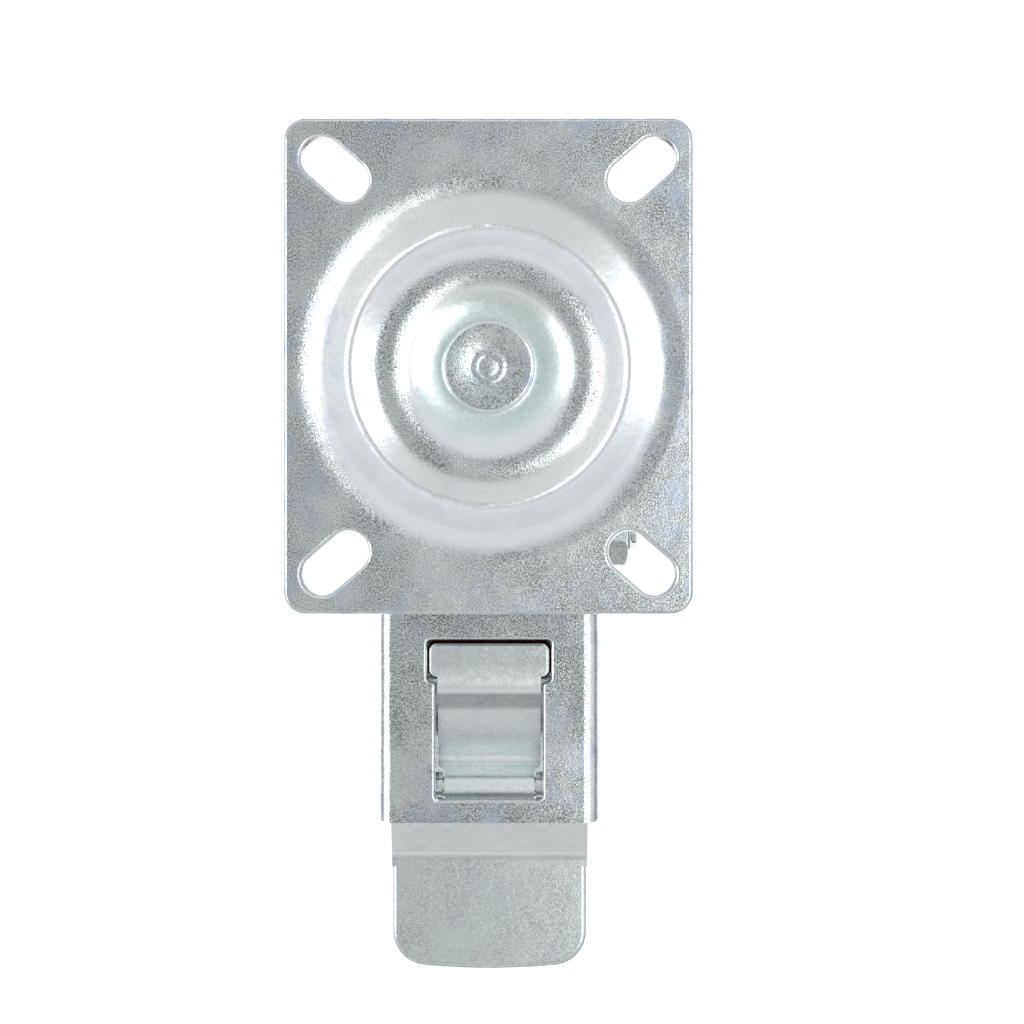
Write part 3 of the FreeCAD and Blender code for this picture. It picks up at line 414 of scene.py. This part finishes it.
# %% Moulded plastics
def make_moulding(name, base, flecks, grain, depth, low, high, see_through=0.0):
    """A moulded finish: two near colours, a fine grain of relief, and an uneven gloss."""
    made, tree = start_finish(name)
    where = place(tree)
    drift = fit(tree, mottle(tree, where, 9, 3), 0.35, 0.7)
    speck = fit(tree, mottle(tree, where, 0.5, 3, 0.7), 0.62, 0.74, 0, 0.5)
    mixed = blend(tree, speck, blend(tree, calc(tree, "MULTIPLY", drift, 0.6), base, flecks), flecks)
    rough = fit(tree, mottle(tree, where, 3, 3), 0.3, 0.7, low, high)
    normal = bump(tree, mottle(tree, where, grain, 3, 0.6), depth)
    end_finish(tree, Base_Color=mixed, Roughness=rough, Normal=normal, Subsurface_Weight=see_through,
               Subsurface_Scale=0.002)
    return made


core_plastic = make_moulding("moulded_nylon", colour(0.030, 0.031, 0.034), colour(0.055, 0.056, 0.060),
                             0.45, 0.020, 0.38, 0.55)
insert_nylon = make_moulding("natural_nylon", colour(0.70, 0.71, 0.68), colour(0.55, 0.58, 0.60),
                             0.60, 0.008, 0.35, 0.48, 0.25)
seal_rubber = make_moulding("seal_rubber", colour(0.012, 0.012, 0.013), colour(0.030, 0.029, 0.028),
                            0.35, 0.010, 0.45, 0.62)
print("finishes:", core_plastic.name, insert_nylon.name, seal_rubber.name)

# %% [markdown]
# ## Dressing the imported pieces
#
# Each imported piece names the finish that it was measured with. Those names lead to the finishes above,
# so one short table dresses everything.

# %% Finishes on the imported pieces
FINISHES = {
    "zinc_sheet": zinc_lever,
    "zinc_hardware": zinc_hardware,
    "bearing_steel": ground_steel,
    "polyurethane": polyurethane,
    "core_plastic": core_plastic,
    "nylon": insert_nylon,
    "seal_rubber": seal_rubber,
}
OWN_FINISHES = {"top_plate": zinc_plate, "fork": zinc_fork, "pedal": zinc_pedal}
for name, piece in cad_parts.items():
    slot_name = piece.data.materials[0].name.split(".")[0]
    piece.data.materials[0] = OWN_FINISHES.get(name, FINISHES[slot_name])
print("dressed:", len(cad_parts))

# %% [markdown]
# ## Turned pieces
#
# A turned piece is a line drawn beside an axis and spun all the way round. `spin_up` does that for a
# list of corners, each one a distance from the axis and a place along it, in millimetres. Both ends of
# the line are on the axis, so their copies are merged into one point. `adopt` puts the finished piece
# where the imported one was: it rides on the same body and hides that node.

# %% Helpers for new pieces
TURN_STEPS = 96
SEAM = 0.001
SMOOTH_TURN = 30


def spin_up(mesh, corners, axis, origin):
    """Spin a line of corners all the way round an axis. The line starts and ends on the axis."""
    side = axis.orthogonal().normalized()
    line = [mesh.verts.new(origin + (side * reach + axis * along) * MM) for reach, along in corners]
    edges = [mesh.edges.new(pair) for pair in zip(line, line[1:])]
    bmesh.ops.spin(mesh, geom=line + edges, cent=origin, axis=axis, angle=math.tau, steps=TURN_STEPS,
                   use_merge=True)
    bmesh.ops.remove_doubles(mesh, verts=mesh.verts, dist=SEAM * MM)


def adopt(mesh, node, body, finish):
    """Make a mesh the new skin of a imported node, smooth wherever it turns by less than SMOOTH_TURN."""
    bmesh.ops.recalc_face_normals(mesh, faces=mesh.faces)
    for face in mesh.faces:
        face.smooth = True
    for edge in mesh.edges:
        edge.smooth = edge.calc_face_angle(0) < math.radians(SMOOTH_TURN)
    data = bpy.data.meshes.new(node + "_skin")
    mesh.to_mesh(data)
    mesh.free()
    data.materials.append(finish)
    piece = bpy.data.objects.new(node + "_skin", data)
    bpy.context.scene.collection.objects.link(piece)
    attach(piece, body)
    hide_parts(node)
    print(piece.name, len(data.polygons), "faces")


print("turning helpers ready")

# %% [markdown]
# ## The rivet in the middle
#
# A spinning tool rolls the end of the shank down into a flat head. It leaves a rounded rim, a thin
# groove just inside it, and two shallow rings nearer the middle.

# %% The rivet's sizes
RIVET_REACH = 13.0
SHANK_REACH = 8.0
SHOULDER_REACH = 10.0
HEAD_TOP, HEAD_UNDER = -2.4, -5.8
SHOULDER_TOP, SHOULDER_UNDER = -9.8, -20.2
FOOT_TOP, FOOT_UNDER = -28.1, -32.1
RIM_ROUND = 1.1
RIM_STEPS = 6
GROOVE_REACHES = (2.7, 4.9, 11.8)
GROOVE_HALF_WIDTHS = (0.4, 0.4, 0.35)
GROOVE_DEPTHS = (0.14, 0.16, 0.30)
NEAR = 0.1
print("rivet:", 2 * RIVET_REACH, "mm across,", HEAD_TOP - FOOT_UNDER, "mm long")

# %% [markdown]
# The line runs from the middle of the head out to the rim, down the shank and its shoulder, and back in
# under the foot. The last groove ends where the rim begins, so the rim's first corners are left out.

# %% The rivet
def rolled_edge(reach, height, way):
    """The corners of a rounded edge. Way is 1 for an edge at the top, and -1 for one at the bottom."""
    corners = []
    for step in range(RIM_STEPS + 1):
        turn = math.radians(90 * step / RIM_STEPS)
        inwards = RIM_ROUND * (1 - math.sin(turn))
        down = RIM_ROUND * (1 - math.cos(turn))
        corners.append((reach - inwards, height - way * down))
    return corners[::way]


head_line = [(0, HEAD_TOP)]
for reach, half_width, depth in zip(GROOVE_REACHES, GROOVE_HALF_WIDTHS, GROOVE_DEPTHS):
    head_line += [(reach - half_width, HEAD_TOP), (reach, HEAD_TOP - depth)]
    if reach + half_width < RIVET_REACH - RIM_ROUND:
        head_line += [(reach + half_width, HEAD_TOP)]
rim_start = GROOVE_REACHES[-1] + NEAR
rim_line = [corner for corner in rolled_edge(RIVET_REACH, HEAD_TOP, 1) if corner[0] > rim_start]
stem_line = [(RIVET_REACH, HEAD_UNDER), (SHANK_REACH, HEAD_UNDER), (SHANK_REACH, SHOULDER_TOP),
             (SHOULDER_REACH, SHOULDER_TOP), (SHOULDER_REACH, SHOULDER_UNDER),
             (SHANK_REACH, SHOULDER_UNDER), (SHANK_REACH, FOOT_TOP), (RIVET_REACH, FOOT_TOP)]
foot_line = rolled_edge(RIVET_REACH, FOOT_UNDER, -1) + [(0, FOOT_UNDER)]

rivet = bmesh.new()
spin_up(rivet, head_line + rim_line + stem_line + foot_line, Vector((0, 0, 1)), Vector())
adopt(rivet, "king_pin", "mounting", zinc_rivet)

# %% [markdown]
# ## The axle bolt
#
# The bolt comes out of its nut with its thread in plain sight. A thread is a ridge wound round a rod,
# so `bmesh.ops.spin` gets a step along the axis as well as a turn.

# %% The bolt's sizes
BOLT_REACH = 6.0
BOLT_START, BOLT_END = -31.5, 46.5
THREAD_PITCH = 1.75
THREAD_DEPTH = 0.61 * THREAD_PITCH
THREAD_START = 34.0
THREAD_MARGIN = 0.2
THREAD_CREST = (0.44, 0.56)
POINT_HEIGHT, POINT_DEPTH = 0.3, 0.7
OVERLAP = 0.1
HEX_ACROSS = 19.0
HEX_HEIGHT = 7.5
HEX_CORNER = 0.9
HEX_TURN = 16.0
AXLE_SPOT = Vector((0, -46, -137)) * MM
AXLE = Vector((1, 0, 0))
print("bolt:", HEX_HEIGHT + BOLT_END - BOLT_START, "mm long")

# %% [markdown]
# The rod is spun up like the rivet, thinner where the thread will be. One face with the ridge's section
# then stands at the start of the thread, and the spin carries it forward by one pitch in every turn.
# The ridge sinks a little into the rod, so that no gap shows between them.

# %% The bolt's rod and thread
root = BOLT_REACH - THREAD_DEPTH
rod_line = [(0, BOLT_START), (BOLT_REACH, BOLT_START), (BOLT_REACH, THREAD_START), (root, THREAD_START),
            (root, BOLT_END - POINT_HEIGHT), (root - POINT_DEPTH, BOLT_END), (0, BOLT_END)]
bolt = bmesh.new()
spin_up(bolt, rod_line, AXLE, AXLE_SPOT)

ridge_start = THREAD_START + THREAD_MARGIN
ridge_room = BOLT_END - THREAD_MARGIN - THREAD_PITCH - ridge_start
ridge_steps = int(ridge_room / THREAD_PITCH * TURN_STEPS)
ridge_line = [(root - OVERLAP, 0.0), (BOLT_REACH, THREAD_CREST[0]), (BOLT_REACH, THREAD_CREST[1]),
              (root - OVERLAP, 1.0)]
side = AXLE.orthogonal().normalized()
ridge_corners = []
for reach, part in ridge_line:
    along = ridge_start + part * THREAD_PITCH
    ridge_corners.append(bolt.verts.new(AXLE_SPOT + (side * reach + AXLE * along) * MM))
ridge_face = bolt.faces.new(ridge_corners)
bmesh.ops.spin(bolt, geom=[ridge_face], cent=AXLE_SPOT, axis=AXLE, steps=ridge_steps,
               angle=math.tau * ridge_steps / TURN_STEPS, dvec=AXLE * THREAD_PITCH / TURN_STEPS * MM)
print("thread turns:", round(ridge_steps / TURN_STEPS, 1))

# %% [markdown]
# The head is a cone with six sides and no taper, laid along the axle and turned a little, as a spanner
# left it. Only the edges of its outer face are bevelled.

# %% The bolt's head
hex_reach = HEX_ACROSS / math.sqrt(3) * MM
hexagon = bmesh.ops.create_cone(bolt, cap_ends=True, segments=6, radius1=hex_reach, radius2=hex_reach,
                                depth=HEX_HEIGHT * MM)["verts"]
bmesh.ops.rotate(bolt, verts=hexagon, matrix=Matrix.Rotation(math.radians(-90), 3, "Y"))
bmesh.ops.rotate(bolt, verts=hexagon, matrix=Matrix.Rotation(math.radians(HEX_TURN), 3, "X"))
hex_middle = BOLT_START - HEX_HEIGHT / 2
bmesh.ops.translate(bolt, verts=hexagon, vec=AXLE_SPOT + AXLE * hex_middle * MM)
outer = [corner for corner in hexagon if corner.co.x < hex_middle * MM]
outer_edges = [edge for edge in bolt.edges if edge.verts[0] in outer and edge.verts[1] in outer]
bmesh.ops.bevel(bolt, geom=outer_edges, offset=HEX_CORNER * MM, affect="EDGES", segments=2, profile=0.5,
                material=-1)
adopt(bolt, "axle_bolt", "fork", zinc_hardware)

# %% [markdown]
# ## The floor
#
# The castor stands on a plain pale floor. It glows a little, so that it stays white under the plate.

# %% Floor
FLOOR_HALF = 1.6
FLOOR_GREY = 0.86
FLOOR_GLOW = 0.58
floor_height = CAD_BOX[0][2]

floor_mesh = bmesh.new()
bmesh.ops.create_grid(floor_mesh, x_segments=8, y_segments=8, size=FLOOR_HALF)
bmesh.ops.translate(floor_mesh, verts=floor_mesh.verts, vec=(0, 0, floor_height))
floor_data = bpy.data.meshes.new("floor")
floor_mesh.to_mesh(floor_data)
floor_mesh.free()
floor = bpy.data.objects.new("floor", floor_data)
bpy.context.scene.collection.objects.link(floor)

paint, tree = start_finish("pale_floor")
end_finish(tree, Base_Color=colour(FLOOR_GREY, FLOOR_GREY, FLOOR_GREY), Roughness=0.7,
           Emission_Color=colour(1, 1, 1), Emission_Strength=FLOOR_GLOW)
floor_data.materials.append(paint)
print("floor at", round(floor_height, 4))

# %% [markdown]
# ## Two soft panels
#
# Bright metal shows what is around it more than what falls on it. A large panel low on the left and one
# high on the right give the pressed slopes their white sides. A panel's power follows its size, so
# that both look equally bright from the castor.

# %% Panels
PANEL_GLOW = 1.7
PANEL_REACH = 0.9
PANEL_AIM = Vector((0, -0.04, 0))


def add_panel(name, azimuth, lean, width, height):
    """A soft panel that faces the castor. Lean is its angle from straight overhead, in degrees."""
    turn, tip = math.radians(azimuth), math.radians(lean)
    away = Vector((math.cos(turn) * math.sin(tip), math.sin(turn) * math.sin(tip), math.cos(tip)))
    data = bpy.data.lights.new(name, "AREA")
    data.shape = "RECTANGLE"
    data.size = width
    data.size_y = height
    data.energy = PANEL_GLOW * math.pi * width * height
    panel = bpy.data.objects.new(name, data)
    panel.location = PANEL_AIM + away * PANEL_REACH
    panel.rotation_euler = away.to_track_quat("Z", "Y").to_euler()
    panel.visible_camera = False
    bpy.context.scene.collection.objects.link(panel)


add_panel("left_panel", 182, 56, 0.62, 0.44)
add_panel("right_panel", -10, 28, 0.62, 0.50)
print("panels:", [light.name for light in bpy.data.lights])

# %% [markdown]
# ## The sky
#
# The rest of the room is a sky of greys. It is dark at the horizon, which draws a thin line round every
# edge, pale above that, and middling overhead. The side behind the castor is paler and a little cooler
# than the side in front. The camera itself sees an even backdrop in its place.

# %% Sky
BACKDROP = 0.92
SIDE_FADE = 0.35
SKY_FRONT = [(0.0, (0.05, 0.05, 0.05)), (0.18, (0.24, 0.25, 0.25)), (0.45, (0.70, 0.71, 0.71)),
             (0.70, (0.66, 0.66, 0.66)), (0.86, (0.48, 0.48, 0.48)), (0.97, (0.52, 0.53, 0.53)),
             (1.0, (0.50, 0.51, 0.51))]
SKY_BACK = [(0.0, (0.05, 0.05, 0.05)), (0.18, (0.26, 0.27, 0.28)), (0.45, (0.74, 0.76, 0.79)),
            (0.70, (0.72, 0.73, 0.76)), (0.86, (0.64, 0.65, 0.67)), (0.97, (0.56, 0.57, 0.58)),
            (1.0, (0.50, 0.51, 0.51))]
world = bpy.data.worlds.new("studio")
world.use_nodes = True
sky = world.node_tree
sky.nodes.clear()
direction = put(sky, "ShaderNodeTexCoord").outputs["Generated"]
axes = put(sky, "ShaderNodeSeparateXYZ", {"Vector": direction})


def sky_ramp(levels):
    """A ramp of grey over the height of the sky, from the horizon to straight overhead."""
    ramp = put(sky, "ShaderNodeValToRGB", {"Fac": axes.outputs["Z"]})
    stops = ramp.color_ramp.elements
    while len(stops) < len(levels):
        stops.new(0.5)
    for stop, (spot, level) in zip(stops, levels):
        stop.position = spot
        stop.color = colour(*level)
    return ramp.outputs["Color"]


toward_back = fit(sky, axes.outputs["Y"], -SIDE_FADE, SIDE_FADE)
bands = blend(sky, toward_back, sky_ramp(SKY_FRONT), sky_ramp(SKY_BACK))
seen = put(sky, "ShaderNodeLightPath").outputs["Is Camera Ray"]
pale = blend(sky, seen, bands, colour(BACKDROP, BACKDROP, BACKDROP))
light = put(sky, "ShaderNodeBackground", {"Color": pale, "Strength": 1.0})
put(sky, "ShaderNodeOutputWorld", {"Surface": light.outputs["Background"]})
bpy.context.scene.world = world
bpy.context.scene.view_settings.view_transform = "Standard"
print("sky levels:", len(SKY_FRONT))

# %% [markdown]
# ## The camera
#
# The camera looks straight down on the plate. Its lens is worked out from how wide a view it should
# have at the height of the plate.

# %% Camera
CAMERA_SPOT = Vector((0.0064, -0.03965, 0.72))
VIEW_WIDTH = 0.2781
SENSOR_WIDTH = 36

camera_data = bpy.data.cameras.new("camera")
camera_data.sensor_width = SENSOR_WIDTH
camera_data.lens = SENSOR_WIDTH * CAMERA_SPOT.z / VIEW_WIDTH
camera = bpy.data.objects.new("camera", camera_data)
camera.location = CAMERA_SPOT
bpy.context.scene.collection.objects.link(camera)
bpy.context.scene.camera = camera
print("lens:", round(camera_data.lens, 2), "mm")
